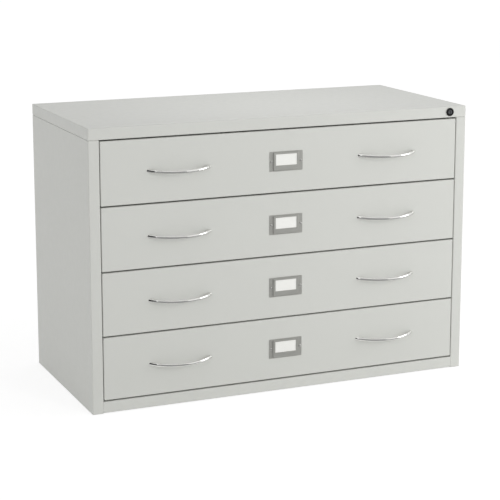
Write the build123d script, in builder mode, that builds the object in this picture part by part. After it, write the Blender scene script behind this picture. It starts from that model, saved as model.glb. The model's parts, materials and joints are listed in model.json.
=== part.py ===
from build123d import *
import os
from math import asin, cos, degrees, radians, sin

# A steel microfiche cabinet: four wide drawers of six fiche rows each, in a case of folded sheet.
# Millimetres. X runs along the width, the drawers open towards -Y, Z is up.
# The origin is on the floor, under the middle of the whole cabinet, handles included.

# --- case ---
case_width = 1092.2
case_depth = 508.0
case_height = 749.3
case_lift = 1.0  # what the glides hold the case off the floor
base_height = 31.0
drawer_count = 4
top_band = 31.0
post_width = 29.5
sheet = 1.2
bend = 2.4  # outer radius of a folded edge
seam_round = 1.0  # along the side panels' upper edges, under the cap
touch = 0.3  # running clearance between pieces that pass each other
post_return = 20.0
panel_top_flange = 14.0
rear_flange = 18.0
cap_return = 14.0
back_sheet = 1.0
back_overlap = 14.0  # what the back panel reaches up inside the cap
rail_gap = 1.0  # under the base rail, above the posts' lower ends
rail_top_return = 20.0
rail_bottom_return = 12.0
floor_pan_foot = 7.0  # height of the floor pan's lower flanges
floor_pan_flange = 34.0
upright_width = 40.0
upright_sheet = 1.5
front_upright_setback = 80.0
rear_upright_setback = 40.0

# --- glides and rivets ---
glide_pad_diameter = 28.0
glide_pad_height = 5.0
glide_pad_chamfer = 1.0
glide_stem_diameter = 8.0
glide_stem_length = 20.0
glide_inset = 18.0  # from the inside of the side panel
glide_setback = 45.0
rivet_head_diameter = 8.0
rivet_head_height = 1.2
rivet_head_round = 0.6
rivet_shank_diameter = 4.0
rivet_rows = 5
rivet_end_distance = 60.0
rivet_tail_diameter = 6.5
rivet_tail_height = 1.0
rivet_clearance = 0.1

# --- drawers ---
front_side_gap = 2.0
front_gap = 3.8  # above the top drawer, between drawers and below the lowest
front_depth = 18.0
front_back_flange = 26.0
tray_sheet = 1.0
tray_height = 127.0
tray_rise = 12.0  # the tray's floor above the lower edge of its front
tray_length = 456.0
hem_height = 8.0
fiche_rows = 6
divider_sheet = 1.0
divider_drop = 12.0  # the divider's top below the tray's rim

# --- slides ---
slide_length = 450.0
slide_height = 45.7
slide_thickness = 12.7
slide_sheet = 1.4
slide_setback = 24.0
slide_rise = 45.0  # the slide's middle above the lower edge of the drawer's front
slide_lip = 1.6  # how far each member stays short of the next one's web

# --- handles ---
handle_inset = 244.5  # from the side of the case to the middle of a handle
handle_span = 166.0  # along the drawer's face, between the middles of the feet
handle_rise = 30.0
handle_droop = 3.5
handle_middle_height = 7.0
handle_middle_thickness = 5.0
handle_foot_height = 10.0
handle_foot_thickness = 7.5
handle_overrun = 7.0  # in degrees of arc, cut off again at the drawer's face
handle_stations = 11
handle_screw_spacing = 162.0
screw_shank_diameter = 4.0
screw_head_diameter = 8.0
screw_head_height = 2.6
screw_head_round = 0.9
screw_grip = 4.0  # how deep a screw reaches into the handle
screw_clearance = 0.1

# --- label holders ---
label_width = 96.0
label_height = 53.0
label_sheet = 0.9
label_corner = 2.0
label_frame_width = 74.0
label_frame_height = 47.0
label_frame_depth = 3.4
label_frame_round = 0.45
window_width = 61.0
window_height = 30.0
window_raise = 4.3
card_thickness = 0.5
card_side_gap = 1.0
label_rivet_head_diameter = 6.0
label_rivet_head_height = 1.4
label_rivet_head_round = 1.0
label_rivet_shank_diameter = 3.0
label_rivet_tail_diameter = 4.5
label_rivet_inset = 5.3  # from the side of the plate

# --- lock ---
lock_inset = 51.0  # from the right side of the case
lock_face_diameter = 22.5
lock_face_height = 3.0
lock_face_round = 0.8
lock_body_diameter = 18.0
lock_body_length = 24.0
lock_nut_width = 24.0
lock_nut_height = 4.0
plug_diameter = 12.0
plug_sink = 0.6  # the plug's face below the housing's face
plug_tail = 1.6
plug_running_gap = 0.08
keyway_width = 1.8
keyway_height = 8.0
keyway_depth = 12.0
crank_radius = 10.0
crank_width = 9.0
crank_sheet = 2.0
crank_start = 45.0  # degrees above level, with the lock open
pin_diameter = 4.0
pin_length = 6.5
bar_gap = 3.2  # between the post's return and the bar
bar_sheet = 2.0
bar_setback = 30.0
bar_width = 18.0
bar_foot = 40.0  # the bar's lower end above the top of the base
slot_gap = 0.6
arm_height = 12.0
arm_end = 4.0  # beyond the end of the slot
finger_height = 10.0
finger_cover = 6.0  # how far a finger covers the catch
finger_drop_gap = 2.0  # under a raised finger, above its catch
catch_height = 10.0
catch_reach = 9.0
catch_sheet = 2.0
catch_rise = 100.0  # above the lower edge of the drawer's front
catch_gap = 2.0  # play of a locked drawer
guide_height = 10.0
guide_wall = 2.0
guide_rise = 60.0

# --- values that follow ---
half_width = case_width / 2
handle_reach = handle_rise + handle_middle_thickness / 2
case_front = (handle_reach - case_depth - rivet_head_height) / 2
case_back = case_front + case_depth
base_top = case_lift + base_height
case_top = case_lift + case_height
cap_bottom = case_top - top_band
drawer_pitch = (cap_bottom - base_top - front_gap) / drawer_count
half_opening = half_width - post_width
half_inside = half_width - sheet
half_tray = half_opening - slide_thickness
half_front = half_opening - front_side_gap
front_height = drawer_pitch - front_gap
front_inside = case_front + front_depth
floor_pan_front = case_front + rail_top_return
back_inside = case_back - sheet - back_sheet
lock_x = half_width - lock_inset
lock_z = cap_bottom + top_band / 2
bar_front = case_front + bar_setback
bar_x = half_opening + bar_gap + bar_sheet / 2


def drawer_middle(number):
    """Height of the middle of a drawer's front; drawer 1 is the top one."""
    return cap_bottom - front_gap / 2 - (number - 0.5) * drawer_pitch


def drawer_foot(number):
    """Height of the lower edge of a drawer's front."""
    return drawer_middle(number) - front_height / 2


def slab(x_range, y_range, z_range, mode=Mode.ADD):
    """A box between two values on each axis, added to the piece that is being built."""
    sizes = [high - low for low, high in (x_range, y_range, z_range)]
    centre = [(high + low) / 2 for low, high in (x_range, y_range, z_range)]
    with Locations(tuple(centre)):
        Box(*sizes, mode=mode)


def post(x, z, y_range, diameter, mode=Mode.ADD):
    """A round bar along Y between two values."""
    near, far = y_range
    with Locations(Location((x, (near + far) / 2, z), (90, 0, 0))):
        Cylinder(diameter / 2, far - near, mode=mode)


def rounded_block(x_range, y_range, z_range, radius):
    """A box with all its edges rounded, as the outside or the inside of a folded pan."""
    with BuildPart() as block:
        slab(x_range, y_range, z_range)
        fillet(block.edges(), radius)
    return block.part


def folded(plane, outline, thickness, length, radius):
    """A strip of sheet folded along an outline, whose thickness lies to the left of the path."""
    with BuildPart() as strip:
        with BuildSketch(plane):
            with BuildLine():
                FilletPolyline(*outline, radius=radius)
                offset(amount=thickness, side=Side.LEFT, kind=Kind.INTERSECTION)
            make_face()
        extrude(amount=length)
    return strip.part


def finish(piece, name):
    """Name a piece and write it to its own file."""
    piece.part.label = name
    export_step(piece.part, f"parts/{name}.step")


def finish_welded(sheets, name):
    """Write sheets that are welded edge to edge as one piece of several touching solids."""
    welded = Compound([solid for sheet_part in sheets for solid in sheet_part.part.solids()])
    welded.label = name
    export_step(welded, f"parts/{name}.step")


os.makedirs("parts", exist_ok=True)

# --- top cap: a shallow pan turned upside down, with a return flange all round ---
cap_x = (-half_width, half_width)
cap_y = (case_front, case_back)
cap_z = (cap_bottom, case_top)
cap_outside = rounded_block(cap_x, cap_y, cap_z, bend)
cap_hollow = rounded_block(
    (-half_inside, half_inside),
    (case_front + sheet, case_back - sheet),
    (cap_bottom + sheet, case_top - sheet),
    bend - sheet,
)
with BuildPart() as top_cap:
    add(cap_outside)
    add(cap_hollow, mode=Mode.SUBTRACT)
    slab(
        (cap_return - half_width, half_width - cap_return),
        (case_front + cap_return, back_inside - touch),
        (cap_bottom, cap_bottom + sheet),
        Mode.SUBTRACT,
    )
    slab(
        (touch - half_inside, half_inside - touch),
        (back_inside - touch, case_back - sheet),
        (cap_bottom, cap_bottom + bend),
        Mode.SUBTRACT,
    )
    lock_hole = lock_body_diameter + 2 * touch
    post(lock_x, lock_z, (case_front - sheet, case_front + 2 * sheet), lock_hole, Mode.SUBTRACT)
finish(top_cap, "top_cap")

# --- side panels: wall, front post with its return, and rear flange from one sheet ---
side_outline = [
    (half_opening, case_front + post_return),
    (half_opening, case_front),
    (half_width, case_front),
    (half_width, case_back),
    (half_width - rear_flange, case_back),
]
side_height = cap_bottom - case_lift
rivet_x = half_width - rear_flange / 2
rivet_low = case_lift + rivet_end_distance
rivet_step = (cap_bottom - rivet_end_distance - rivet_low) / (rivet_rows - 1)
rivet_heights = [rivet_low + row * rivet_step for row in range(rivet_rows)]
rivet_hole_diameter = rivet_shank_diameter + 2 * rivet_clearance
with BuildPart() as right_side_panel:
    add(folded(Plane.XY.offset(case_lift), side_outline, sheet, side_height, bend))
    slab(
        (half_width - panel_top_flange, half_inside),
        (case_front + sheet, back_inside - touch),
        (cap_bottom - sheet, cap_bottom),
    )
    slab(
        (half_opening + sheet, half_inside),
        (case_front + sheet, case_front + post_return),
        (cap_bottom - sheet, cap_bottom),
    )
    upper_edges = right_side_panel.edges().group_by(Axis.Z)[-1]
    fillet(upper_edges.sort_by(Axis.X)[-1], seam_round)
    for z in rivet_heights:
        post(rivet_x, z, (case_back - 2 * sheet, case_back + sheet), rivet_hole_diameter, Mode.SUBTRACT)
finish(right_side_panel, "right_side_panel")

with BuildPart() as left_side_panel:
    mirror(right_side_panel.part, about=Plane.YZ)
finish(left_side_panel, "left_side_panel")

# --- back panel, inside the side panels' rear flanges and up inside the cap ---
with BuildPart() as back_panel:
    slab(
        (bend - half_inside, half_inside - bend),
        (back_inside, case_back - sheet),
        (case_lift + rail_gap, cap_bottom + back_overlap),
    )
    for x in (-rivet_x, rivet_x):
        for z in rivet_heights:
            post(x, z, (back_inside - sheet, case_back), rivet_hole_diameter, Mode.SUBTRACT)
finish(back_panel, "back_panel")

with BuildPart() as back_rivets:
    for x in (-rivet_x, rivet_x):
        for z in rivet_heights:
            post(x, z, (back_inside, case_back), rivet_shank_diameter)
            post(x, z, (case_back, case_back + rivet_head_height), rivet_head_diameter)
            post(x, z, (back_inside - rivet_tail_height, back_inside), rivet_tail_diameter)
    rivet_faces = back_rivets.faces().filter_by(Axis.Y).group_by(Axis.Y)[-1]
    fillet(rivet_faces.edges(), rivet_head_round)
finish(back_rivets, "back_rivets")

# --- base rail between the posts, and the floor pan behind it ---
rail_outline = [
    (case_front + rail_top_return, base_top),
    (case_front, base_top),
    (case_front, case_lift + rail_gap),
    (case_front + rail_bottom_return, case_lift + rail_gap),
]
with BuildPart() as base_rail:
    add(folded(Plane.YZ.offset(-half_opening), rail_outline, sheet, 2 * half_opening, bend))
finish(base_rail, "base_rail")

glide_x = half_inside - glide_inset
glide_near = case_front + glide_setback
glide_far = case_back - glide_setback
glide_places = [(x, y) for x in (-glide_x, glide_x) for y in (glide_near, glide_far)]
floor_pan_outline = [
    (half_inside - floor_pan_flange, floor_pan_foot),
    (half_inside, floor_pan_foot),
    (half_inside, base_top),
    (-half_inside, base_top),
    (-half_inside, floor_pan_foot),
    (floor_pan_flange - half_inside, floor_pan_foot),
]
floor_pan_back = case_back - bend - touch
floor_pan_depth = floor_pan_back - floor_pan_front
with BuildPart() as floor_pan:
    add(folded(Plane.XZ.offset(-floor_pan_back), floor_pan_outline, sheet, floor_pan_depth, bend))
    with BuildSketch(Plane.XY.offset(floor_pan_foot)):
        with Locations(*glide_places):
            Circle(glide_stem_diameter / 2)
    extrude(amount=sheet, mode=Mode.SUBTRACT)
finish(floor_pan, "floor_pan")

with BuildPart() as leveling_glides:
    with BuildSketch():
        with Locations(*glide_places):
            Circle(glide_pad_diameter / 2)
    extrude(amount=glide_pad_height)
    pad_rims = leveling_glides.faces().filter_by(Axis.Z).edges()
    chamfer(pad_rims, glide_pad_chamfer)
    with BuildSketch(Plane.XY.offset(glide_pad_height)):
        with Locations(*glide_places):
            Circle(glide_stem_diameter / 2)
    extrude(amount=glide_stem_length)
finish(leveling_glides, "leveling_glides")

# --- uprights: four channels that carry the slides, level with the posts' inner edges ---
upright_height = cap_bottom - sheet - base_top


def upright_outline(middle):
    """Plan of one right-hand channel, its open side towards the side panel."""
    near = middle - upright_width / 2
    far = middle + upright_width / 2
    return [(half_inside, far), (half_opening, far), (half_opening, near), (half_inside, near)]


upright_middles = (case_front + front_upright_setback, case_back - rear_upright_setback)
with BuildPart() as slide_uprights:
    for middle in upright_middles:
        base = Plane.XY.offset(base_top)
        add(folded(base, upright_outline(middle), upright_sheet, upright_height, bend))
    mirror(about=Plane.YZ)
finish(slide_uprights, "slide_uprights")

# --- slides: three nested channels on each side of a drawer ---
case_member_web = half_opening
drawer_member_web = half_tray
slide_near = case_front + slide_setback
slide_back_plane = Plane.XZ.offset(-(slide_near + slide_length))


def slide_channel(web_x, rim_x, half_height, middle_z):
    """One right-hand slide member: a channel with its web at web_x and its rims at rim_x."""
    low = middle_z - half_height
    high = middle_z + half_height
    outline = [(rim_x, low), (web_x, low), (web_x, high), (rim_x, high)]
    if web_x < rim_x:
        outline.reverse()
    return folded(slide_back_plane, outline, slide_sheet, slide_length, slide_sheet + touch)


nesting = slide_sheet + touch
half_slide = slide_height / 2
middle_member_web = case_member_web - nesting
case_member_rim = drawer_member_web + slide_lip
middle_member_rim = drawer_member_web + nesting + slide_lip
drawer_member_rim = middle_member_web - nesting - touch


def slide_pair(name, number, web_x, rim_x, half_height):
    """The left and right members of one kind, for one drawer."""
    middle_z = drawer_foot(number) + slide_rise
    with BuildPart() as members:
        add(slide_channel(web_x, rim_x, half_height, middle_z))
        mirror(about=Plane.YZ)
    finish(members, name)


with BuildPart() as case_slide_members:
    for number in range(1, drawer_count + 1):
        middle_z = drawer_foot(number) + slide_rise
        add(slide_channel(case_member_web, case_member_rim, half_slide, middle_z))
    mirror(about=Plane.YZ)
finish(case_slide_members, "case_slide_members")

# --- lock: housing, nut, turning plug with its crank, and the bar that it moves ---
lock_face_front = case_front - lock_face_height
plug_bore = plug_diameter + 2 * plug_running_gap
body_end = case_front + lock_body_length
with BuildPart() as lock_housing:
    post(lock_x, lock_z, (lock_face_front, case_front), lock_face_diameter)
    fillet(lock_housing.faces().sort_by(Axis.Y)[0].edges(), lock_face_round)
    post(lock_x, lock_z, (case_front, body_end), lock_body_diameter)
    post(lock_x, lock_z, (lock_face_front, body_end), plug_bore, Mode.SUBTRACT)
finish(lock_housing, "lock_housing")

with BuildPart() as lock_nut:
    with BuildSketch(Plane.XZ.offset(-(case_front + sheet))):
        with Locations((lock_x, lock_z)):
            RegularPolygon(lock_nut_width / 2, 6, major_radius=False)
            Circle(lock_body_diameter / 2, mode=Mode.SUBTRACT)
    extrude(amount=-lock_nut_height)
finish(lock_nut, "lock_nut")

plug_front = lock_face_front + plug_sink
plug_end = body_end + plug_tail
with BuildPart() as lock_plug:
    post(lock_x, lock_z, (plug_front, plug_end), plug_diameter)
    slab(
        (lock_x - keyway_width / 2, lock_x + keyway_width / 2),
        (plug_front, plug_front + keyway_depth),
        (lock_z - keyway_height / 2, lock_z + keyway_height / 2),
        Mode.SUBTRACT,
    )
finish(lock_plug, "lock_plug")

pin_x = lock_x + crank_radius * cos(radians(crank_start))
pin_z = lock_z + crank_radius * sin(radians(crank_start))
crank_end = plug_end + crank_sheet
with BuildPart() as lock_crank:
    with BuildSketch(Plane.XZ.offset(-plug_end)):
        with Locations(((lock_x + pin_x) / 2, (lock_z + pin_z) / 2)):
            SlotCenterToCenter(crank_radius, crank_width, rotation=crank_start)
    extrude(amount=-crank_sheet)
    post(pin_x, pin_z, (crank_end, crank_end + pin_length), pin_diameter)
finish(lock_crank, "lock_crank")

# The bar hangs behind the right post. Its arm follows the crank's pin, and its fingers
# come down in front of the drawers' catches when the key is turned.
catch_front = bar_front + bar_sheet + catch_gap
finger_tip = half_tray + catch_reach - finger_cover
bar_side = (bar_x - bar_sheet / 2, bar_x + bar_sheet / 2)
arm_top = pin_z + arm_height / 2
slot_far = lock_x + crank_radius
with BuildPart() as bar_strip:
    slab(bar_side, (bar_front, bar_front + bar_width), (base_top + bar_foot, arm_top))
with BuildPart() as bar_arm:
    arm_x = (pin_x - pin_diameter / 2 - slot_gap - arm_end, bar_side[0])
    slab(arm_x, (bar_front, bar_front + bar_sheet), (arm_top - arm_height, arm_top))
    with BuildSketch(Plane.XZ.offset(-bar_front)):
        with Locations(((pin_x + slot_far) / 2, pin_z)):
            SlotCenterToCenter(slot_far - pin_x, pin_diameter + 2 * slot_gap)
    extrude(amount=-bar_sheet, mode=Mode.SUBTRACT)
with BuildPart() as bar_fingers:
    for number in range(1, drawer_count + 1):
        finger_low = drawer_foot(number) + catch_rise + catch_height + finger_drop_gap
        finger_z = (finger_low, finger_low + finger_height)
        slab((finger_tip, bar_side[0]), (bar_front, bar_front + bar_sheet), finger_z)
finish_welded([bar_strip, bar_arm, bar_fingers], "lock_bar")

with BuildPart() as lock_bar_guides:
    near = bar_front - touch
    far = bar_front + bar_width + touch
    for number in range(1, drawer_count + 1):
        guide_low = drawer_foot(number) + guide_rise
        guide_z = (guide_low, guide_low + guide_height)
        slab((bar_side[0] - touch - guide_wall, half_inside), (near - guide_wall, far + guide_wall), guide_z)
        slab((bar_side[0] - touch, bar_side[1] + touch), (near, far), guide_z, Mode.SUBTRACT)
finish(lock_bar_guides, "lock_bar_guides")

# --- drawers ---
handle_places = (handle_inset - half_width, half_width - handle_inset)
screw_offsets = (-handle_screw_spacing / 2, handle_screw_spacing / 2)
screw_places = [x + step for x in handle_places for step in screw_offsets]
screw_hole_diameter = screw_shank_diameter + 2 * screw_clearance
label_rivet_x = label_width / 2 - label_rivet_inset
label_hole_diameter = label_rivet_shank_diameter + 2 * rivet_clearance
arc_radius = ((handle_span / 2) ** 2 + handle_rise**2) / (2 * handle_rise)
arc_end = degrees(asin(handle_span / 2 / arc_radius))
face_plane = Plane.XZ.offset(-case_front)  # the drawers' faces, its normal towards the user


def make_front(number):
    """The drawer's front: a closed pan, open behind inside its back flange."""
    low = drawer_foot(number)
    high = low + front_height
    middle = drawer_middle(number)
    front_outside = rounded_block((-half_front, half_front), (case_front, front_inside), (low, high), bend)
    front_hollow = rounded_block(
        (sheet - half_front, half_front - sheet),
        (case_front + sheet, front_inside - sheet),
        (low + sheet, high - sheet),
        bend - sheet,
    )
    with BuildPart() as front:
        add(front_outside)
        add(front_hollow, mode=Mode.SUBTRACT)
        slab(
            (front_back_flange - half_front, half_front - front_back_flange),
            (front_inside - sheet, front_inside),
            (low + front_back_flange, high - front_back_flange),
            Mode.SUBTRACT,
        )
        for x in screw_places:
            post(x, middle, (case_front, case_front + sheet), screw_hole_diameter, Mode.SUBTRACT)
        for x in (-label_rivet_x, label_rivet_x):
            post(x, middle, (case_front, case_front + sheet), label_hole_diameter, Mode.SUBTRACT)
    finish(front, f"drawer_{number}_front")


def make_tray(number):
    """The open tray behind the front: welded sheets with hemmed rims, and the lock bar's catch."""
    low = drawer_foot(number) + tray_rise
    high = low + tray_height
    back = front_inside + tray_length
    hem = (high - hem_height, high)
    inner = half_tray - tray_sheet  # inside of the side walls
    hem_inner = inner - tray_sheet
    with BuildPart() as tray_floor:
        slab((-inner, inner), (front_inside + tray_sheet, back - tray_sheet), (low, low + tray_sheet))
    with BuildPart() as right_wall:
        slab((inner, half_tray), (front_inside, back), (low, high))
        slab((hem_inner, inner), (front_inside + tray_sheet, back - tray_sheet), hem)
    with BuildPart() as left_wall:
        mirror(right_wall.part, about=Plane.YZ)
    with BuildPart() as near_wall:
        slab((-inner, inner), (front_inside, front_inside + tray_sheet), (low, high))
        slab((-hem_inner, hem_inner), (front_inside + tray_sheet, front_inside + 2 * tray_sheet), hem)
    with BuildPart() as far_wall:
        slab((-inner, inner), (back - tray_sheet, back), (low, high))
        slab((-hem_inner, hem_inner), (back - 2 * tray_sheet, back - tray_sheet), hem)
    with BuildPart() as catch:
        catch_low = drawer_foot(number) + catch_rise
        slab(
            (half_tray, half_tray + catch_reach),
            (catch_front, catch_front + catch_sheet),
            (catch_low, catch_low + catch_height),
        )
    finish_welded([tray_floor, right_wall, left_wall, near_wall, far_wall, catch], f"drawer_{number}_tray")


def make_dividers(number):
    """Upright sheets with a hemmed top that part the tray into rows of fiche."""
    low = drawer_foot(number) + tray_rise + tray_sheet
    high = low + tray_height - tray_sheet - divider_drop
    row_pitch = 2 * (half_tray - tray_sheet) / fiche_rows
    divider_y = (front_inside + tray_sheet, front_inside + tray_length - tray_sheet)
    with BuildPart() as dividers:
        for row in range(1, fiche_rows):
            x = tray_sheet - half_tray + row * row_pitch
            slab((x - divider_sheet / 2, x + divider_sheet / 2), divider_y, (low, high))
            slab((x - divider_sheet, x + divider_sheet), divider_y, (high - hem_height, high))
    finish(dividers, f"drawer_{number}_dividers")


def make_handle(number, x, side):
    """A bow pull: oval sections along an arc, cut off flat at the drawer's face."""
    z = drawer_middle(number)
    reach = arc_end + handle_overrun
    with BuildPart() as handle:
        for station in range(handle_stations):
            angle = reach * (2 * station / (handle_stations - 1) - 1)
            share = min(abs(angle) / arc_end, 1) ** 2
            height = handle_middle_height + share * (handle_foot_height - handle_middle_height)
            thickness = handle_middle_thickness + share * (handle_foot_thickness - handle_middle_thickness)
            across = arc_radius * sin(radians(angle))
            out = arc_radius * (cos(radians(angle)) - 1) + handle_rise
            droop = handle_droop / handle_rise
            centre = (x + across, case_front - out, z - droop * out)
            along = Vector(cos(radians(angle)), sin(radians(angle)), droop * sin(radians(angle)))
            sideways = along.cross(Vector(0, 0, 1))
            with BuildSketch(Plane(origin=centre, x_dir=sideways, z_dir=along)):
                Ellipse(thickness / 2, height / 2)
        loft()
        split(bisect_by=face_plane, keep=Keep.TOP)
        for step in screw_offsets:
            post(x + step, z, (case_front - screw_grip, case_front), screw_hole_diameter, Mode.SUBTRACT)
    finish(handle, f"drawer_{number}_{side}_handle")


def make_handle_screws(number):
    """Pan-head screws from inside the front into the handles' feet."""
    z = drawer_middle(number)
    head_seat = case_front + sheet
    with BuildPart() as screws:
        for x in screw_places:
            post(x, z, (case_front - screw_grip, head_seat), screw_shank_diameter)
            post(x, z, (head_seat, head_seat + screw_head_height), screw_head_diameter)
        head_faces = screws.faces().filter_by(Axis.Y).group_by(Axis.Y)[-1]
        fillet(head_faces.edges(), screw_head_round)
    finish(screws, f"drawer_{number}_handle_screws")


def make_label_holder(number):
    """A pressed plate with a raised frame, open above for the card."""
    z = drawer_middle(number)
    pocket_width = label_frame_width - 2 * label_sheet
    pocket_height = label_frame_height - 2 * label_sheet
    pocket_depth = label_frame_depth - label_sheet
    with BuildPart() as holder:
        with BuildSketch(face_plane):
            with Locations((0, z)):
                RectangleRounded(label_width, label_height, label_corner)
        extrude(amount=label_sheet)
        with BuildSketch(face_plane):
            with Locations((0, z)):
                RectangleRounded(label_frame_width, label_frame_height, label_corner)
        extrude(amount=label_frame_depth)
        frame_rim = holder.faces().sort_by(Axis.Y)[0].edges()
        fillet(frame_rim, label_frame_round)
        with BuildSketch(face_plane):
            with Locations((0, z)):
                Rectangle(pocket_width, pocket_height)
        extrude(amount=pocket_depth, mode=Mode.SUBTRACT)
        with BuildSketch(face_plane):
            with Locations((0, z + window_raise)):
                Rectangle(window_width, window_height)
        extrude(amount=label_frame_depth, mode=Mode.SUBTRACT)
        slab(
            (-pocket_width / 2, pocket_width / 2),
            (case_front - pocket_depth, case_front - label_sheet),
            (z + pocket_height / 2, z + label_frame_height / 2),
            Mode.SUBTRACT,
        )
        for x in (-label_rivet_x, label_rivet_x):
            post(x, z, (case_front - label_sheet, case_front), label_hole_diameter, Mode.SUBTRACT)
    finish(holder, f"drawer_{number}_label_holder")

    with BuildPart() as card:
        slab(
            (card_side_gap - pocket_width / 2, pocket_width / 2 - card_side_gap),
            (case_front - pocket_depth, case_front - pocket_depth + card_thickness),
            (z - pocket_height / 2, z + pocket_height / 2 - card_side_gap),
        )
    finish(card, f"drawer_{number}_label_card")


def make_label_rivets(number):
    """Round-head rivets through the plate's sides and the drawer's face."""
    z = drawer_middle(number)
    head_seat = case_front - label_sheet
    tail_seat = case_front + sheet
    with BuildPart() as rivets:
        for x in (-label_rivet_x, label_rivet_x):
            post(x, z, (head_seat - label_rivet_head_height, head_seat), label_rivet_head_diameter)
            post(x, z, (head_seat, tail_seat), label_rivet_shank_diameter)
            post(x, z, (tail_seat, tail_seat + rivet_tail_height), label_rivet_tail_diameter)
        head_faces = rivets.faces().filter_by(Axis.Y).group_by(Axis.Y)[0]
        fillet(head_faces.edges(), label_rivet_head_round)
    finish(rivets, f"drawer_{number}_label_rivets")


for number in range(1, drawer_count + 1):
    make_front(number)
    make_tray(number)
    make_dividers(number)
    make_handle(number, handle_places[0], "left")
    make_handle(number, handle_places[1], "right")
    make_handle_screws(number)
    make_label_holder(number)
    make_label_rivets(number)
    slide_pair(f"drawer_{number}_slides", number, drawer_member_web, drawer_member_rim, half_slide - 2 * nesting)
    slide_pair(f"middle_slides_{number}", number, middle_member_web, middle_member_rim, half_slide - nesting)
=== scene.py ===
import json
from contextlib import contextmanager
from math import asin, atan2, cos, pi, radians, sin

import bmesh
import bpy
from bpy.props import FloatProperty, FloatVectorProperty, IntProperty, PointerProperty
from mathutils import Matrix, Vector

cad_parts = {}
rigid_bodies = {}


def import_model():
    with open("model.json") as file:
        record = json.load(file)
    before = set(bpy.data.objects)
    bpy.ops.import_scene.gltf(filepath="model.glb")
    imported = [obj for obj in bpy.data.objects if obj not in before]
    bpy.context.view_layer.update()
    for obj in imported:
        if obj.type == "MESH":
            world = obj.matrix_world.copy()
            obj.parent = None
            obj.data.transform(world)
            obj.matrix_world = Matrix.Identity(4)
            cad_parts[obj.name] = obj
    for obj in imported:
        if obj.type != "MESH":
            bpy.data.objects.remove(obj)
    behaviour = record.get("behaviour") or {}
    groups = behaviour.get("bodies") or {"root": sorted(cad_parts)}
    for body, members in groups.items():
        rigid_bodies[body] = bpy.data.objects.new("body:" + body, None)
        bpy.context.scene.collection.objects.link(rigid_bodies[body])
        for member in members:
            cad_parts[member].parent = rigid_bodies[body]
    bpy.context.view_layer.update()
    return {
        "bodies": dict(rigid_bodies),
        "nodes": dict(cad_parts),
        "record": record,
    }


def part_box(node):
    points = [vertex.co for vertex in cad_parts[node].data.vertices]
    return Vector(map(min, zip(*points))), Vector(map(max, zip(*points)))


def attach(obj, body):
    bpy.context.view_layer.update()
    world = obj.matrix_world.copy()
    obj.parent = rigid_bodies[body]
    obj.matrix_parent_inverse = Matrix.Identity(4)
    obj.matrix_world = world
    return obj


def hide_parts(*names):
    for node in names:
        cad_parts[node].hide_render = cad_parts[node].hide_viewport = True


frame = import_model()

bl_info = {
    "name": "Microfiche Cabinet",
    "version": (1, 0, 0),
    "blender": (4, 5, 0),
    "location": "3D View > Sidebar > Cabinet",
    "description": "Folded sheet, bow pulls, label holders, lock and studio for a microfiche cabinet",
    "category": "Add Mesh",
}

DRAWERS = sorted(name for name in frame["bodies"] if name.startswith("drawer_"))
CASE_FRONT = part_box("top_cap")[0].y
ROUND_SIDES = 64


def linear(*channels):
    """A colour as a picture shows it, 0 to 255, in the linear values that shaders take."""
    shares = [channel / 255 for channel in channels]
    return tuple(s / 12.92 if s <= 0.04045 else ((s + 0.055) / 1.055) ** 2.4 for s in shares) + (1.0,)


# --- settings -----------------------------------------------------------------


def length(name, description, default):
    """A length setting in metres."""
    return FloatProperty(name=name, description=description, default=default, unit="LENGTH", precision=5)


ANGLE = {"subtype": "ANGLE"}
POWER = {"unit": "POWER"}


def number(name, description, default, **kind):
    """A plain setting, or an angle or a power if its kind says so."""
    return FloatProperty(name=name, description=description, default=default, **kind)


def colour(name, description, channels):
    """A colour setting, given as a picture shows it."""
    shown = linear(*channels)
    return FloatVectorProperty(
        name=name, description=description, default=shown, subtype="COLOR", size=4, min=0, max=1
    )


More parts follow.
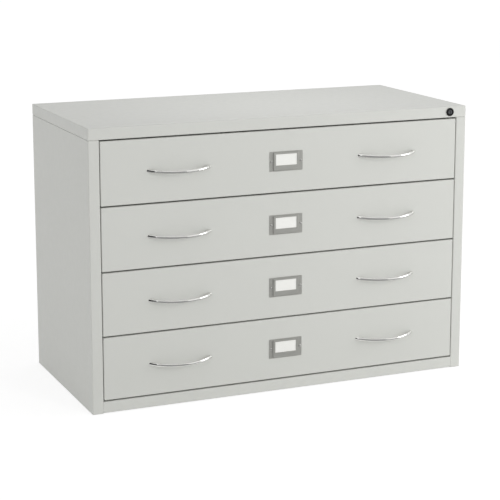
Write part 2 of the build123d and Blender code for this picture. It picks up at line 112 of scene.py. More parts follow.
class CabinetSizes(bpy.types.PropertyGroup):
    """Sizes of the folded sheet and of the fittings."""

    sheet: length("Sheet", "Thickness of the painted sheet", 0.0012)
    bend: length("Bend", "Outer radius of a folded edge", 0.0024)
    front_flange: length("Front flange", "Width of the flange behind a drawer's front", 0.026)
    cap_return: length("Cap return", "Width of the flange under the top cap", 0.014)
    post_return: length("Post return", "Depth of the fold behind a post's inner edge", 0.020)
    rear_flange: length("Rear flange", "Width of a side panel's rear flange", 0.018)
    panel_top_flange: length("Panel top flange", "Width of a side panel's upper flange", 0.014)
    rail_return: length("Rail return", "Depth of the base rail's lower fold", 0.012)
    pull_span: length("Pull span", "Along the drawer's face, between the middles of the feet", 0.166)
    pull_rise: length("Pull rise", "How far a pull stands out at its middle", 0.030)
    pull_droop: length("Pull droop", "How far a pull's middle hangs below its feet", 0.0035)
    pull_middle_height: length("Pull height", "Height of the bar at its middle", 0.0070)
    pull_middle_thickness: length("Pull thickness", "Thickness of the bar at its middle", 0.0050)
    pull_foot_height: length("Foot height", "Height of the bar at its feet", 0.0100)
    pull_foot_thickness: length("Foot thickness", "Thickness of the bar at its feet", 0.0075)
    pull_overrun: number("Overrun", "Arc past each foot, cut off at the face", radians(7), **ANGLE)
    label_sheet: length("Label sheet", "Thickness of a label holder's sheet", 0.0009)
    label_corner: length("Label corner", "Corner radius of a label holder", 0.002)
    label_frame_width: length("Frame width", "Width of the raised frame", 0.074)
    label_frame_height: length("Frame height", "Height of the raised frame", 0.047)
    label_frame_round: length("Frame round", "Rounding along the raised frame", 0.0009)
    window_width: length("Window width", "Width of a label holder's window", 0.061)
    window_height: length("Window height", "Height of a label holder's window", 0.030)
    window_raise: length("Window raise", "How far the window's middle lies above the holder's", 0.0043)
    window_round: length("Window round", "Rounding along the window's edge", 0.0003)
    card_border: length("Card border", "Width of the flat border on a card's face", 0.0004)
    card_round: length("Card round", "Softening of a card's side edges", 0.0001)
    lock_hole: length("Lock hole", "Diameter of the hole for the lock", 0.0186)
    lock_body: length("Lock body", "Diameter of the lock's body behind its face", 0.018)
    lock_round: length("Lock round", "Rounding of the face's outer edge", 0.0008)
    lock_rim: length("Lock rim", "Width of the rim round the face's sunken middle", 0.0022)
    lock_slope: length("Lock slope", "Width of the slope inside the rim", 0.0004)
    lock_sink: length("Lock sink", "Depth of the face's sunken middle", 0.0003)
    plug_gap: length("Plug gap", "Running clearance round the plug", 0.00008)
    plug_round: length("Plug round", "Rounding of the plug's face", 0.0005)
    keyway_width: length("Keyway width", "Width of the slot for the key", 0.0018)
    keyway_height: length("Keyway height", "Height of the slot for the key", 0.008)
    keyway_depth: length("Keyway depth", "Depth of the slot for the key", 0.012)


class CabinetColours(bpy.types.PropertyGroup):
    """Colours of the cabinet's finishes."""

    paint: colour("Paint", "Pale grey powder coat", (211, 212, 207))
    chrome: colour("Chrome", "Polished chrome plate", (229, 229, 226))
    nickel: colour("Nickel", "Satin nickel plate of the label holders", (184, 184, 179))
    zinc: colour("Zinc", "Bright zinc plate of slides, screws and rivets", (178, 181, 184))
    card: colour("Card", "White label card", (244, 244, 240))
    lock_black: colour("Lock black", "Black finish of the lock", (20, 20, 21))
    nylon: colour("Nylon", "Dark nylon of the glides", (52, 52, 54))


class CabinetStudio(bpy.types.PropertyGroup):
    """Camera and light."""

    camera_place: FloatVectorProperty(
        name="Camera place", description="Where the camera stands", default=(-1.7436, -4.0510, 1.3534),
        subtype="TRANSLATION", unit="LENGTH", size=3,
    )
    camera_azimuth: number("Azimuth", "Turn of the view about the vertical", radians(-23.273), **ANGLE)
    camera_elevation: number("Elevation", "How far the view looks down", radians(11.162), **ANGLE)
    lens: number("Lens", "Focal length in millimetres", 115.69)
    shift: number("Shift", "Rise of the lens, as a share of the frame", -0.1)
    ambient: number("Ambient", "Strength of the white surroundings as light", 0.735)
    key_power: number("Key power", "Soft lamp at the right", 18.5, **POWER)
    fill_power: number("Fill power", "Soft lamp in front", 23.5, **POWER)
    top_power: number("Top power", "Small lamp overhead", 0.8, **POWER)
    floor_size: length("Floor size", "Side of the square floor", 80.0)
    floor_glow: number("Floor glow", "How bright the floor's own white is where it is seen", 1.25)
    floor_glow_share: number("Floor glow share", "Share of that white, against the lit floor", 0.6)


SETTINGS = (CabinetSizes, CabinetColours, CabinetStudio)


# --- modelling helpers ----------------------------------------------------------


def deselect_all():
    """Leave no object selected, because operators act on all that is."""
    if bpy.context.mode != "OBJECT":
        bpy.ops.object.mode_set(mode="OBJECT")
    bpy.ops.object.select_all(action="DESELECT")


def take_new(name):
    """Name the primitive just added and put its place and size into its mesh."""
    piece = bpy.context.active_object
    piece.name = name
    piece.data.name = name
    bpy.ops.object.transform_apply(location=True, rotation=True, scale=True)
    return piece


def start_box(name, low, high):
    """A cube primitive stretched between two corners."""
    deselect_all()
    bpy.ops.mesh.primitive_cube_add(size=1, location=(low + high) / 2)
    bpy.context.active_object.scale = high - low
    return take_new(name)


def start_cylinder(name, centre, radius, near, far, sides):
    """A cylinder primitive along Y between two values, centred on x and z."""
    deselect_all()
    place = (centre.x, (near + far) / 2, centre.z)
    bpy.ops.mesh.primitive_cylinder_add(
        vertices=sides, radius=radius, depth=far - near, location=place, rotation=(pi / 2, 0, 0)
    )
    return take_new(name)


@contextmanager
def editing(piece):
    """Edit mode with nothing selected."""
    bpy.context.view_layer.objects.active = piece
    bpy.ops.object.mode_set(mode="EDIT")
    bpy.ops.mesh.select_all(action="DESELECT")
    yield
    bpy.ops.object.mode_set(mode="OBJECT")


def pick(piece, kind, test):
    """In edit mode, select only the verts, edges or faces that pass the test."""
    bpy.ops.mesh.select_mode(type={"verts": "VERT", "edges": "EDGE", "faces": "FACE"}[kind])
    bpy.ops.mesh.select_all(action="DESELECT")
    mesh = bmesh.from_edit_mesh(piece.data)
    chosen = [element for element in getattr(mesh, kind) if test(element)]
    if not chosen:
        raise RuntimeError(f"nothing to select on {piece.name}")
    for element in chosen:
        element.select_set(True)
    mesh.select_flush_mode()
    bmesh.update_edit_mesh(piece.data)


def cut(place, normal):
    """In edit mode, cut the whole mesh along a plane."""
    bpy.ops.mesh.select_all(action="SELECT")
    bpy.ops.mesh.bisect(plane_co=place, plane_no=normal)


def bevel(radius, segments, kind="EDGES"):
    """In edit mode, round what is selected."""
    bpy.ops.mesh.bevel(offset=radius, segments=segments, affect=kind, clamp_overlap=True)


def push(vector):
    """In edit mode, extrude what is selected along a vector."""
    bpy.ops.mesh.extrude_region_move(TRANSFORM_OT_translate={"value": vector})


def middle_of(element):
    """Middle of an edge or a face."""
    if isinstance(element, bmesh.types.BMFace):
        return element.calc_center_median()
    return (element.verts[0].co + element.verts[1].co) / 2


def near(value, target, slack=1e-5):
    """True if two values are the same, to a hundredth of a millimetre where no slack is given."""
    return abs(value - target) < slack


def thicken(piece, thickness):
    """Give a folded surface its sheet thickness, inwards."""
    solid = piece.modifiers.new("sheet", "SOLIDIFY")
    solid.thickness = thickness
    solid.offset = -1
    solid.use_even_offset = True
    solid.use_quality_normals = True
    bpy.ops.object.modifier_apply(modifier=solid.name)


def smooth(piece, angle=radians(32)):
    """Smooth the rounded parts and keep flat faces flat."""
    bpy.context.view_layer.objects.active = piece
    piece.select_set(True)
    bpy.ops.object.shade_smooth_by_angle(angle=angle)
    weighted = piece.modifiers.new("weighted", "WEIGHTED_NORMAL")
    weighted.keep_sharp = True
    bpy.ops.object.modifier_apply(modifier=weighted.name)


def carve(piece, cutter):
    """Cut one mesh out of another and remove the cutter."""
    deselect_all()
    bpy.context.view_layer.objects.active = piece
    hole = piece.modifiers.new("hole", "BOOLEAN")
    hole.operation = "DIFFERENCE"
    hole.solver = "EXACT"
    hole.object = cutter
    bpy.ops.object.modifier_apply(modifier=hole.name)
    bpy.data.objects.remove(cutter)


def copy_of(piece, name, move):
    """A copy with its own mesh, moved in its mesh."""
    twin = piece.copy()
    twin.data = piece.data.copy()
    twin.name = name
    twin.data.name = name
    twin.data.transform(Matrix.Translation(move))
    bpy.context.scene.collection.objects.link(twin)
    return twin


def dress(piece, body, node, material):
    """Give a piece its body and its material, and hide the CAD node it stands for."""
    piece.data.materials.clear()
    piece.data.materials.append(material)
    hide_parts(node)
    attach(piece, body)


# --- materials ------------------------------------------------------------------


class Finish:
    """A material under construction: its node tree and its Principled shader."""

    def __init__(self, name, colour_value, roughness, metallic=0.0):
        self.material = bpy.data.materials.new(name)
        self.material.use_nodes = True
        self.tree = self.material.node_tree
        self.shader = self.tree.nodes["Principled BSDF"]
        self.shader.inputs["Base Color"].default_value = colour_value
        self.shader.inputs["Roughness"].default_value = roughness
        self.shader.inputs["Metallic"].default_value = metallic
        self.place = self.node("ShaderNodeTexCoord").outputs["Object"]

    def node(self, kind, **values):
        """Add a node and set its properties or, by socket name, its inputs."""
        made = self.tree.nodes.new(kind)
        for key, value in values.items():
            if hasattr(made, key):
                setattr(made, key, value)
            else:
                made.inputs[key.replace("_", " ")].default_value = value
        return made

    def link(self, source, target):
        """Join an output to an input."""
        self.tree.links.new(source, target)

    def stretched(self, scale):
        """Object coordinates, stretched."""
        mapping = self.node("ShaderNodeMapping", Scale=scale)
        self.link(self.place, mapping.inputs["Vector"])
        return mapping.outputs["Vector"]

    def noise(self, scale, detail=2.0, vector=None):
        """A noise value between 0 and 1."""
        noise = self.node("ShaderNodeTexNoise", Scale=scale, Detail=detail)
        self.link(vector or self.place, noise.inputs["Vector"])
        return noise.outputs["Fac"]

    def spread(self, value, low, high):
        """Map the middle of a noise to a range."""
        ramp = self.node("ShaderNodeMapRange", From_Min=0.3, From_Max=0.7, To_Min=low, To_Max=high)
        self.link(value, ramp.inputs["Value"])
        return ramp.outputs["Result"]

    def tone(self, value, first, second):
        """Colour the shader between two colours by a value."""
        mix = self.node("ShaderNodeMix", data_type="RGBA")
        self.link(value, mix.inputs[0])
        mix.inputs[6].default_value = first
        mix.inputs[7].default_value = second
        self.link(mix.outputs[2], self.shader.inputs["Base Color"])

    def rough(self, value, low, high):
        """Vary the roughness by a value."""
        self.link(self.spread(value, low, high), self.shader.inputs["Roughness"])

    def bump(self, value, depth, strength=1.0):
        """Raise the surface by a value times a depth in metres."""
        bump = self.node("ShaderNodeBump", Strength=strength, Distance=depth)
        self.link(value, bump.inputs["Height"])
        self.link(bump.outputs["Normal"], self.shader.inputs["Normal"])


def shade(colour_value, factor):
    """A colour made lighter or darker."""
    return tuple(channel * factor for channel in colour_value[:3]) + (1.0,)


def powder_coat(colours):
    """Satin powder coat: a fine orange peel and very slight changes of tone."""
    paint = Finish("powder_coat", colours.paint, 0.42)
    paint.tone(paint.noise(2.4, 3.0), shade(colours.paint, 0.985), shade(colours.paint, 1.012))
    paint.rough(paint.noise(60.0), 0.38, 0.48)
    paint.bump(paint.noise(700.0, 3.0), 0.00004, 0.35)
    paint.shader.inputs["Specular IOR Level"].default_value = 0.4
    return paint.material


def polished_chrome(colours):
    """Chrome plate with faint smears."""
    chrome = Finish("polished_chrome", colours.chrome, 0.08, 1.0)
    chrome.rough(chrome.noise(90.0, 3.0), 0.05, 0.12)
    chrome.bump(chrome.noise(260.0), 0.00002, 0.15)
    return chrome.material


def satin_nickel(colours):
    """Nickel plate brushed along the width."""
    nickel = Finish("satin_nickel", colours.nickel, 0.42, 0.6)
    brushed = nickel.noise(1.0, 4.0, nickel.stretched((60.0, 2500.0, 2500.0)))
    nickel.tone(nickel.spread(brushed, 0, 1), shade(colours.nickel, 0.90), shade(colours.nickel, 1.08))
    nickel.rough(brushed, 0.36, 0.52)
    nickel.bump(brushed, 0.00002, 0.3)
    return nickel.material


def bright_nickel(colours):
    """Burnished nickel of the rivets' round heads."""
    nickel = Finish("bright_nickel", colours.chrome, 0.18, 1.0)
    burnish = nickel.noise(900.0, 2.0)
    nickel.rough(burnish, 0.12, 0.26)
    nickel.bump(burnish, 0.00001, 0.3)
    return nickel.material


def zinc_plate(colours):
    """Bright zinc plate with a faint spangle."""
    zinc = Finish("zinc_plate", colours.zinc, 0.35, 1.0)
    spangle = zinc.node("ShaderNodeTexVoronoi", Scale=160.0)
    zinc.link(zinc.place, spangle.inputs["Vector"])
    parts = zinc.node("ShaderNodeSeparateColor")
    zinc.link(spangle.outputs["Color"], parts.inputs["Color"])
    zinc.tone(parts.outputs["Red"], shade(colours.zinc, 0.90), shade(colours.zinc, 1.06))
    zinc.rough(zinc.noise(400.0), 0.28, 0.42)
    zinc.bump(zinc.noise(900.0), 0.00002, 0.25)
    return zinc.material


def label_card(colours):
    """Matt card with a fibrous tooth."""
    card = Finish("label_card", colours.card, 0.85)
    fibres = card.noise(1.0, 4.0, card.stretched((900.0, 900.0, 2600.0)))
    card.tone(card.spread(fibres, 0, 1), shade(colours.card, 0.965), shade(colours.card, 1.0))
    card.bump(fibres, 0.00003, 0.4)
    card.shader.inputs["Specular IOR Level"].default_value = 0.2
    return card.material


def dark_steel(colours):
    """Dark steel of the lock's plug."""
    steel = Finish("dark_steel", shade(colours.zinc, 0.28), 0.3, 1.0)
    turned = steel.noise(800.0, 3.0)
    steel.tone(steel.spread(turned, 0, 1), shade(colours.zinc, 0.16), shade(colours.zinc, 0.42))
    steel.bump(turned, 0.00002, 0.4)
    return steel.material


def black_lock(colours):
    """Black lock finish with slight polish on its turned faces."""
    black = Finish("black_lock", colours.lock_black, 0.35)
    rings = black.noise(500.0, 3.0)
    black.tone(black.spread(rings, 0, 1), shade(colours.lock_black, 0.7), shade(colours.lock_black, 1.5))
    black.rough(black.noise(160.0), 0.26, 0.44)
    black.bump(rings, 0.00003, 0.3)
    black.shader.inputs["Specular IOR Level"].default_value = 0.2
    return black.material


def moulded_nylon(colours):
    """Dark moulded nylon."""
    nylon = Finish("moulded_nylon", colours.nylon, 0.55)
    grain = nylon.noise(1200.0, 2.0)
    nylon.tone(nylon.spread(grain, 0, 1), shade(colours.nylon, 0.85), shade(colours.nylon, 1.15))
    nylon.bump(grain, 0.00004, 0.4)
    return nylon.material


FINISHES = {
    "cabinet_paint": powder_coat,
    "handle_chrome": polished_chrome,
    "label_nickel": satin_nickel,
    "zinc_steel": zinc_plate,
    "label_card": label_card,
    "lock_black": black_lock,
    "glide_nylon": moulded_nylon,
    "label_rivets": bright_nickel,
    "lock_plug": dark_steel,
}
made_finishes = {}


def finish_for(name):
    """The finish of a slot, or of a kind of node that differs from its slot, made once."""
    if name not in made_finishes:
        made_finishes[name] = FINISHES[name](bpy.context.scene.cabinet_colours)
    return made_finishes[name]


# --- pieces ---------------------------------------------------------------------


class CABINET_OT_cad_finishes(bpy.types.Operator):
    """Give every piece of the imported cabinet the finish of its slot"""

    bl_idname = "cabinet.cad_finishes"
    bl_label = "Finish the carried pieces"

    def execute(self, context):
        for entry in frame["record"]["subparts"]:
            node = frame["nodes"][entry["node"]]
            if not node.material_slots:
                node.data.materials.append(None)
            kind = "label_rivets" if entry["node"].endswith("label_rivets") else entry["material_slot"]
            for place in node.material_slots:
                place.material = finish_for(kind)
        return {"FINISHED"}


class CABINET_OT_top_cap(bpy.types.Operator):
    """Model the top cap: a shallow folded pan with a return flange below"""

    bl_idname = "cabinet.top_cap"
    bl_label = "Top cap"

    def execute(self, context):
        sizes = context.scene.cabinet_sizes
        low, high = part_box("top_cap")
        cap = start_box("cap_shell", low, high)
        with editing(cap):
            bpy.ops.mesh.select_all(action="SELECT")
            bevel(sizes.bend, 5)
            pick(cap, "faces", lambda face: face.normal.z < -0.99)
            bpy.ops.mesh.inset(thickness=sizes.cap_return - sizes.bend)
            bpy.ops.mesh.delete(type="FACE")
        thicken(cap, sizes.sheet)
        lock_low, lock_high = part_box("lock_housing")
        lock = (lock_low + lock_high) / 2
        reach = 4 * sizes.sheet
        radius = sizes.lock_hole / 2
        cutter = start_cylinder("lock_cutter", lock, radius, low.y - reach, low.y + reach, ROUND_SIDES)
        carve(cap, cutter)
        smooth(cap)
        dress(cap, "case", "top_cap", finish_for("cabinet_paint"))
        return {"FINISHED"}


class CABINET_OT_side_panels(bpy.types.Operator):
    """Model the two side panels, each with its post, returns and flanges"""

    bl_idname = "cabinet.side_panels"
    bl_label = "Side panels"

    def execute(self, context):
        for side in ("left", "right"):
            self.panel(context.scene.cabinet_sizes, side)
        return {"FINISHED"}

    def panel(self, sizes, side):
        """One panel: the inner side of the box is opened behind the post's return."""
        node = f"{side}_side_panel"
        low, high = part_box(node)
        inwards = 1 if side == "left" else -1
        outer = low.x if side == "left" else high.x
        panel = start_box(f"{side}_side_shell", low, high)
        return_end = low.y + sizes.post_return
        flange_end = outer + inwards * sizes.rear_flange
        top_end = outer + inwards * sizes.panel_top_flange
        with editing(panel):
            pick(panel, "edges", lambda edge: middle_of(edge).z > low.z + 1e-4)
            bevel(sizes.bend, 5)
            cut((0, return_end, 0), (0, 1, 0))
            cut((flange_end, 0, 0), (1, 0, 0))
            cut((top_end, 0, 0), (1, 0, 0))

            def open_side(face):
                place = middle_of(face)
                if face.normal.z < -0.9:
                    return True
                behind = place.y > return_end
                if face.normal.y > 0.3:
                    return inwards * (place.x - flange_end) > 0
                if inwards * face.normal.x > 0.3:
                    return behind
                return face.normal.z > 0.3 and behind and inwards * (place.x - top_end) > 0

            pick(panel, "faces", open_side)
            bpy.ops.mesh.delete(type="FACE")
        thicken(panel, sizes.sheet)
        smooth(panel)
        dress(panel, "case", node, finish_for("cabinet_paint"))


class CABINET_OT_base_rail(bpy.types.Operator):
    """Model the base rail: a channel between the posts"""

    bl_idname = "cabinet.base_rail"
    bl_label = "Base rail"

    def execute(self, context):
        sizes = context.scene.cabinet_sizes
        low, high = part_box("base_rail")
        rail = start_box("base_rail_shell", low, high)

        def folded(edge):
            place = middle_of(edge)
            return near(place.x, 0, 0.01) and near(place.y, low.y)

        with editing(rail):
            pick(rail, "edges", folded)
            bevel(sizes.bend, 5)
            cut((0, low.y + sizes.rail_return, 0), (0, 1, 0))

            def open_side(face):
                below = face.normal.z < -0.9 and middle_of(face).y > low.y + sizes.rail_return
                return below or face.normal.y > 0.9 or abs(face.normal.x) > 0.9

            pick(rail, "faces", open_side)
            bpy.ops.mesh.delete(type="FACE")
        thicken(rail, sizes.sheet)
        smooth(rail)
        dress(rail, "case", "base_rail", finish_for("cabinet_paint"))
        return {"FINISHED"}


class CABINET_OT_drawer_fronts(bpy.types.Operator):
    """Model the drawers' fronts: folded pans, open behind"""

    bl_idname = "cabinet.drawer_fronts"
    bl_label = "Drawer fronts"

    def execute(self, context):
        sizes = context.scene.cabinet_sizes
        low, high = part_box("drawer_1_front")
        first = start_box("drawer_1_face", low, high)
        with editing(first):
            bpy.ops.mesh.select_all(action="SELECT")
            bevel(sizes.bend, 5)
            pick(first, "faces", lambda face: face.normal.y > 0.99)
            bpy.ops.mesh.inset(thickness=sizes.front_flange - sizes.bend)
            bpy.ops.mesh.delete(type="FACE")
        thicken(first, sizes.sheet)
        smooth(first)
        for body in DRAWERS:
            node = f"{body}_front"
            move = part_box(node)[0] - low
            face = first if body == DRAWERS[0] else copy_of(first, f"{body}_face", move)
            dress(face, body, node, finish_for("cabinet_paint"))
        return {"FINISHED"}


class CABINET_OT_bow_pulls(bpy.types.Operator):
    """Model the chrome bow pulls: an oval ring spun along an arc and cut off at the drawer's face"""

    bl_idname = "cabinet.bow_pulls"
    bl_label = "Bow pulls"

    sides: IntProperty(name="Sides", description="Points round the bar", default=24, min=8)
    steps: IntProperty(name="Steps", description="Rings along the bar", default=48, min=12)

    def execute(self, context):
        first_low, first_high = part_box("drawer_1_left_handle")
        middle = (first_low + first_high) / 2
        face_low, face_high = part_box("drawer_1_front")
        start = Vector((middle.x, CASE_FRONT, (face_low.z + face_high.z) / 2))
        first = self.pull(context.scene.cabinet_sizes, start)
        for body in DRAWERS:
            for side in ("left", "right"):
                node = f"{body}_{side}_handle"
                name = f"{body}_{side}_pull"
                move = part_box(node)[0] - first_low
                pull = copy_of(first, name, move)
                dress(pull, body, node, finish_for("handle_chrome"))
        bpy.data.objects.remove(first)
        return {"FINISHED"}

    def pull(self, sizes, start):
        """One pull whose feet stand on the drawer's face on each side of the start."""
        half = sizes.pull_span / 2
        radius = (half**2 + sizes.pull_rise**2) / (2 * sizes.pull_rise)
        end = asin(half / radius)
        turn = end + sizes.pull_overrun
        hub = start + Vector((0, radius - sizes.pull_rise, 0))
        deselect_all()
        bpy.ops.mesh.primitive_circle_add(
            vertices=self.sides, radius=0.5, location=(hub.x, hub.y - radius, hub.z), rotation=(0, pi / 2, 0)
        )
        bpy.context.active_object.scale = (sizes.pull_middle_height, sizes.pull_middle_thickness, 1)
        pull = take_new("bow_pull")
        to_first_end = Matrix.Translation(hub) @ Matrix.Rotation(-turn, 4, "Z") @ Matrix.Translation(-hub)
        pull.data.transform(to_first_end)
        with editing(pull):
            bpy.ops.mesh.select_all(action="SELECT")
            bpy.ops.mesh.spin(steps=self.steps, angle=-2 * turn, center=hub, axis=(0, 0, 1))
            bpy.ops.mesh.select_all(action="SELECT")
            bpy.ops.mesh.remove_doubles(threshold=1e-6)
            for step in range(self.steps + 1):
                angle = (2 * step / self.steps - 1) * turn
                self.taper(pull, sizes, hub, radius, angle, min(abs(angle) / end, 1) ** 2)
        pull.data.transform(self.droop(sizes, start))
        with editing(pull):
            bpy.ops.mesh.select_all(action="SELECT")
            bpy.ops.mesh.bisect(plane_co=start, plane_no=(0, 1, 0), use_fill=True, clear_outer=True)
            bpy.ops.mesh.select_all(action="SELECT")
            bpy.ops.mesh.normals_make_consistent(inside=False)
        smooth(pull, radians(50))
        return pull

    def taper(self, pull, sizes, hub, radius, angle, share):
        """In edit mode, bring the ring at an angle a share of the way to the size of the feet."""
        wide = 1 + share * (sizes.pull_foot_height / sizes.pull_middle_height - 1)
        thick = 1 + share * (sizes.pull_foot_thickness / sizes.pull_middle_thickness - 1)
        centre = hub + radius * Vector((sin(angle), -cos(angle), 0))

        def on_ring(vertex):
            across = vertex.co - hub
            return near(atan2(across.x, -across.y), angle, 1e-3)

        pick(pull, "verts", on_ring)
        bpy.ops.transform.resize(value=(thick, thick, wide), center_override=centre)

    def droop(self, sizes, start):
        """The lean by which what stands out from the drawer's face hangs down."""
        lean = Matrix.Identity(4)
        lean[2][1] = sizes.pull_droop / sizes.pull_rise
        return Matrix.Translation(start) @ lean @ Matrix.Translation(-start)


class CABINET_OT_label_holders(bpy.types.Operator):
    """Model the label holders: a pressed plate with a raised frame and a window, and its card"""

    bl_idname = "cabinet.label_holders"
    bl_label = "Label holders"

    def execute(self, context):
        low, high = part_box("drawer_1_label_holder")
        first = self.holder(context.scene.cabinet_sizes, low, high)
        first_card = self.card(context.scene.cabinet_sizes)
        for body in DRAWERS:
            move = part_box(f"{body}_label_holder")[0] - low
            held = copy_of(first, f"{body}_holder", move)
            dress(held, body, f"{body}_label_holder", finish_for("label_nickel"))
            card = copy_of(first_card, f"{body}_card", move)
            dress(card, body, f"{body}_label_card", finish_for("label_card"))
        bpy.data.objects.remove(first)
        bpy.data.objects.remove(first_card)
        return {"FINISHED"}

    def holder(self, sizes, low, high):
        """The front surface of the pressing, then its thickness behind it."""
        middle = (low + high) / 2
        flat = high.y - sizes.label_sheet
        window_middle = middle.z + sizes.window_raise
        frame_x, frame_z = sizes.label_frame_width / 2, sizes.label_frame_height / 2
        window_x, window_z = sizes.window_width / 2, sizes.window_height / 2
        deselect_all()
        place = (middle.x, flat, middle.z)
        bpy.ops.mesh.primitive_plane_add(size=1, location=place, rotation=(pi / 2, 0, 0))
        bpy.context.active_object.scale = (high.x - low.x, high.z - low.z, 1)
        holder = take_new("label_holder")

        def within(element, half_x, half_z, height):
            place = middle_of(element)
            return abs(place.x) < half_x and abs(place.z - height) < half_z

        def rim(edge, half_x, half_z, height):
            place = middle_of(edge)
            on_rim = near(abs(place.x), half_x) or near(abs(place.z - height), half_z)
            return near(place.y, low.y) and on_rim and within(edge, half_x + 1e-5, half_z + 1e-5, height)

        def frame_rim(edge):
            return edge.is_manifold and rim(edge, frame_x, frame_z, middle.z)

        def window(face):
            return near(middle_of(face).y, low.y) and within(face, window_x, window_z, window_middle)

        with editing(holder):
            bpy.ops.mesh.select_all(action="SELECT")
            bevel(sizes.label_corner, 4, "VERTICES")
            for x in (-frame_x, frame_x):
                cut((x, 0, 0), (1, 0, 0))
            for z in (middle.z - frame_z, middle.z + frame_z):
                cut((0, 0, z), (0, 0, 1))
            pick(holder, "faces", lambda face: within(face, frame_x, frame_z, middle.z))
            push((0, low.y - flat, 0))
            for x in (-window_x, window_x):
                cut((x, 0, 0), (1, 0, 0))
            for z in (window_middle - window_z, window_middle + window_z):
                cut((0, 0, z), (0, 0, 1))
            pick(holder, "faces", window)
            bpy.ops.mesh.delete(type="FACE")
            pick(holder, "edges", frame_rim)
            bevel(sizes.label_frame_round, 4)
            bpy.ops.mesh.select_all(action="SELECT")
            bpy.ops.mesh.normals_make_consistent(inside=False)
            faces = bmesh.from_edit_mesh(holder.data).faces
            if sum(face.normal.y * face.calc_area() for face in faces) > 0:
                bpy.ops.mesh.flip_normals()
        thicken(holder, sizes.label_sheet)
        with editing(holder):
            pick(holder, "edges", lambda edge: rim(edge, window_x, window_z, window_middle))
            bevel(sizes.window_round, 2)
        smooth(holder)
        return holder

    def card(self, sizes):
        """A card with a faintly softened edge."""
        low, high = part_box("drawer_1_label_card")
        card = start_box("label_card", low, high)

        def side(edge):
            place = middle_of(edge)
            return near(abs(place.x), high.x) and not near(place.y, low.y)

        with editing(card):
            pick(card, "faces", lambda face: face.normal.y < -0.9)
            bpy.ops.mesh.inset(thickness=sizes.card_border)
            pick(card, "edges", side)
            bevel(sizes.card_round, 1)
        smooth(card)
        return card


class CABINET_OT_key_lock(bpy.types.Operator):
    """Model the lock's round housing and the plug with its keyway"""

    bl_idname = "cabinet.key_lock"
    bl_label = "Key lock"

    def execute(self, context):
        sizes = context.scene.cabinet_sizes
        self.housing(sizes)
        self.plug(sizes)
        return {"FINISHED"}

    def housing(self, sizes):
        """A flanged tube with a rounded face that is sunk a little inside its rim."""
        low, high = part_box("lock_housing")
        plug_low, plug_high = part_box("lock_plug")
        middle = (low + high) / 2
        face_radius = (high.x - low.x) / 2
        bore = (plug_high.x - plug_low.x) / 2 + sizes.plug_gap
        body = sizes.lock_body / 2
        housing = start_cylinder("lock_barrel", middle, face_radius, low.y, CASE_FRONT, ROUND_SIDES)
        face_middle = Vector((middle.x, low.y, middle.z))

        def outer_edge(edge):
            place = middle_of(edge)
            return near(place.y, low.y) and near((place - face_middle).length, face_radius, 1e-4)

        with editing(housing):
            pick(housing, "faces", lambda face: face.normal.y > 0.9)
            bpy.ops.mesh.inset(thickness=face_radius - body)
            push((0, high.y - CASE_FRONT, 0))
            bpy.ops.mesh.inset(thickness=body - bore)
            pick(housing, "faces", lambda face: face.normal.y < -0.9)
            bpy.ops.mesh.inset(thickness=sizes.lock_rim)
            bpy.ops.mesh.inset(thickness=sizes.lock_slope)
            push((0, sizes.lock_sink, 0))
            bpy.ops.mesh.inset(thickness=face_radius - bore - sizes.lock_rim - sizes.lock_slope)
            pick(housing, "faces", lambda face: len(face.verts) > 8 and abs(face.normal.y) > 0.9)
            bpy.ops.mesh.delete(type="FACE")
            pick(housing, "edges", lambda edge: not edge.is_manifold)
            bpy.ops.mesh.bridge_edge_loops()
            pick(housing, "edges", outer_edge)
            bevel(sizes.lock_round, 4)
            bpy.ops.mesh.select_all(action="SELECT")
            bpy.ops.mesh.normals_make_consistent(inside=False)
        smooth(housing)
        dress(housing, "case", "lock_housing", finish_for("lock_black"))

    def plug(self, sizes):
        """A round bar with the slot for the key."""
        low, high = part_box("lock_plug")
        middle = (low + high) / 2
        radius = (high.x - low.x) / 2
        half_wide, half_high = sizes.keyway_width / 2, sizes.keyway_height / 2
        plug = start_cylinder("lock_plug_face", middle, radius, low.y, high.y, 48)

        def keyway(face):
            across = middle_of(face) - middle
            return face.normal.y < -0.9 and abs(across.x) < half_wide and abs(across.z) < half_high

        with editing(plug):
            pick(plug, "edges", lambda edge: near(middle_of(edge).y, low.y))
            bevel(sizes.plug_round, 3)
            for x in (middle.x - half_wide, middle.x + half_wide):
                cut((x, 0, 0), (1, 0, 0))
            for z in (middle.z - half_high, middle.z + half_high):
                cut((0, 0, z), (0, 0, 1))
            pick(plug, "faces", keyway)
            push((0, sizes.keyway_depth, 0))
        smooth(plug)
        dress(plug, "lock_cylinder", "lock_plug", finish_for("lock_plug"))


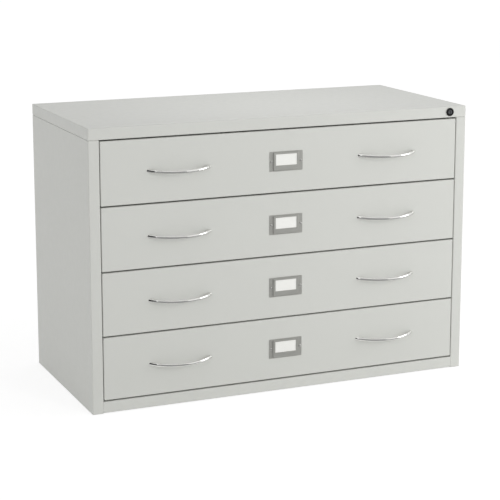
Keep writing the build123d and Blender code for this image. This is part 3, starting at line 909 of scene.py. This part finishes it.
class CABINET_OT_studio(bpy.types.Operator):
    """Add the pale floor, the white surroundings, the lamps and cards, and the camera"""

    bl_idname = "cabinet.studio"
    bl_label = "Studio"

    def execute(self, context):
        settings = context.scene.cabinet_studio
        self.floor(settings)
        self.surroundings(context.scene, settings)
        self.lamps(context.scene, settings)
        self.camera(context.scene, settings)
        context.scene.view_settings.view_transform = "Standard"
        return {"FINISHED"}

    def floor(self, settings):
        """A wide white floor that keeps the shadow and meets the white background."""
        deselect_all()
        bpy.ops.mesh.primitive_plane_add(size=settings.floor_size, location=(0, 0, 0))
        floor = take_new("studio_floor")
        material = bpy.data.materials.new("studio_floor")
        material.use_nodes = True
        nodes, links = material.node_tree.nodes, material.node_tree.links
        shader = nodes["Principled BSDF"]
        shader.inputs["Base Color"].default_value = (0.96, 0.96, 0.96, 1)
        shader.inputs["Roughness"].default_value = 0.9
        shader.inputs["Specular IOR Level"].default_value = 0.0
        glow = nodes.new("ShaderNodeEmission")
        glow.inputs["Color"].default_value = (1, 1, 1, 1)
        glow.inputs["Strength"].default_value = settings.floor_glow
        share = nodes.new("ShaderNodeMath")
        share.operation = "MULTIPLY"
        share.inputs[1].default_value = settings.floor_glow_share
        mix = nodes.new("ShaderNodeMixShader")
        links.new(self.seen(nodes, links), share.inputs[0])
        links.new(share.outputs[0], mix.inputs[0])
        links.new(shader.outputs[0], mix.inputs[1])
        links.new(glow.outputs[0], mix.inputs[2])
        links.new(mix.outputs[0], nodes["Material Output"].inputs["Surface"])
        floor.data.materials.append(material)

    def seen(self, nodes, links):
        """1 for the rays by which something is seen: straight, in metal or through glass."""
        path = nodes.new("ShaderNodeLightPath")
        value = path.outputs["Is Camera Ray"]
        for kind in ("Is Glossy Ray", "Is Transmission Ray"):
            either = nodes.new("ShaderNodeMath")
            either.operation = "MAXIMUM"
            links.new(value, either.inputs[0])
            links.new(path.outputs[kind], either.inputs[1])
            value = either.outputs[0]
        return value

    def surroundings(self, scene, settings):
        """White all round, at full strength only where it is seen or mirrored."""
        world = bpy.data.worlds.new("studio_world")
        world.use_nodes = True
        nodes, links = world.node_tree.nodes, world.node_tree.links
        strength = nodes.new("ShaderNodeMapRange")
        strength.inputs["To Min"].default_value = settings.ambient
        strength.inputs["To Max"].default_value = 1.0
        links.new(self.seen(nodes, links), strength.inputs["Value"])
        background = nodes["Background"]
        background.inputs["Color"].default_value = (1, 1, 1, 1)
        links.new(strength.outputs["Result"], background.inputs["Strength"])
        scene.world = world

    def card(self, name, low, high, tone, shades=False):
        """A card off camera that shows in shiny surfaces, and keeps light from the rest if it shades."""
        card = start_box(name, Vector(low), Vector(high))
        material = bpy.data.materials.new(name)
        material.use_nodes = True
        shader = material.node_tree.nodes["Principled BSDF"]
        shader.inputs["Base Color"].default_value = (tone, tone, tone, 1)
        shader.inputs["Roughness"].default_value = 1.0
        shader.inputs["Specular IOR Level"].default_value = 0.0
        card.data.materials.append(material)
        card.visible_camera = False
        card.visible_diffuse = shades
        card.visible_shadow = False

    def lamps(self, scene, settings):
        """A soft key at the right, a soft fill in front, a small lamp overhead, and cards to mirror."""
        front_middle = (0.0, -0.24, 0.4)
        top_middle = (0.05, 0.0, 0.75)
        self.lamp(scene, "key_lamp", (2.7, -1.35, 0.85), front_middle, 1.2, settings.key_power)
        fill = self.lamp(scene, "fill_lamp", (1.1, -4.0, 2.1), front_middle, 0.9, settings.fill_power)
        top = self.lamp(scene, "top_lamp", (0.05, 0.0, 1.4), top_middle, 0.3, settings.top_power)
        for soft in (fill, top):
            soft.visible_glossy = False
        self.card("left_card", (-2.6, -2.8, 0.0), (-2.58, -0.4, 3.0), 0.02)
        self.card("front_card", (-4.5, -5.6, 0.0), (2.6, -5.58, 5.8), 0.5)
        self.card("floor_card", (-2.5, -5.5, 0.002), (2.6, -0.34, 0.004), 0.4)
        self.card("ceiling_card", (-2.2, -0.5, 2.6), (-0.3, 1.4, 2.62), 0.25, shades=True)

    def lamp(self, scene, name, place, target, size, power):
        """A square area lamp aimed at a point."""
        data = bpy.data.lights.new(name, "AREA")
        data.size = size
        data.energy = power
        lamp = bpy.data.objects.new(name, data)
        lamp.location = place
        aim = Vector(target) - Vector(place)
        lamp.rotation_euler = aim.to_track_quat("-Z", "Y").to_euler()
        scene.collection.objects.link(lamp)
        return lamp

    def camera(self, scene, settings):
        """The photograph's view."""
        data = bpy.data.cameras.new("studio_camera")
        data.lens = settings.lens
        data.sensor_width = 36
        data.shift_y = settings.shift
        data.clip_start = 0.05
        data.clip_end = 200
        camera = bpy.data.objects.new("studio_camera", data)
        camera.location = settings.camera_place
        turn, drop = settings.camera_azimuth, settings.camera_elevation
        back = Vector((sin(turn) * cos(drop), -cos(turn) * cos(drop), sin(drop)))
        camera.rotation_euler = (-back).to_track_quat("-Z", "Y").to_euler()
        scene.collection.objects.link(camera)
        scene.camera = camera


OPERATORS = (
    CABINET_OT_cad_finishes,
    CABINET_OT_top_cap,
    CABINET_OT_side_panels,
    CABINET_OT_base_rail,
    CABINET_OT_drawer_fronts,
    CABINET_OT_bow_pulls,
    CABINET_OT_label_holders,
    CABINET_OT_key_lock,
    CABINET_OT_studio,
)


class CABINET_PT_sidebar(bpy.types.Panel):
    """The cabinet's operators and settings"""

    bl_idname = "CABINET_PT_sidebar"
    bl_label = "Microfiche cabinet"
    bl_space_type = "VIEW_3D"
    bl_region_type = "UI"
    bl_category = "Cabinet"

    def draw(self, context):
        for operator in OPERATORS:
            self.layout.operator(operator.bl_idname)
        scene = context.scene
        for settings in (scene.cabinet_sizes, scene.cabinet_colours, scene.cabinet_studio):
            box = self.layout.box()
            for name in settings.bl_rna.properties.keys():
                if name not in ("rna_type", "name"):
                    box.prop(settings, name)


def register():
    """Make the settings, the operators and the panel known."""
    for cls in SETTINGS + OPERATORS + (CABINET_PT_sidebar,):
        bpy.utils.register_class(cls)
    bpy.types.Scene.cabinet_sizes = PointerProperty(type=CabinetSizes)
    bpy.types.Scene.cabinet_colours = PointerProperty(type=CabinetColours)
    bpy.types.Scene.cabinet_studio = PointerProperty(type=CabinetStudio)


def unregister():
    """Take them away again."""
    del bpy.types.Scene.cabinet_sizes
    del bpy.types.Scene.cabinet_colours
    del bpy.types.Scene.cabinet_studio
    for cls in reversed(SETTINGS + OPERATORS + (CABINET_PT_sidebar,)):
        bpy.utils.unregister_class(cls)


def main():
    """Register the add-on and run its operators in order."""
    register()
    for operator in OPERATORS:
        group, name = operator.bl_idname.split(".")
        getattr(getattr(bpy.ops, group), name)()


if __name__ == "__main__":
    main()
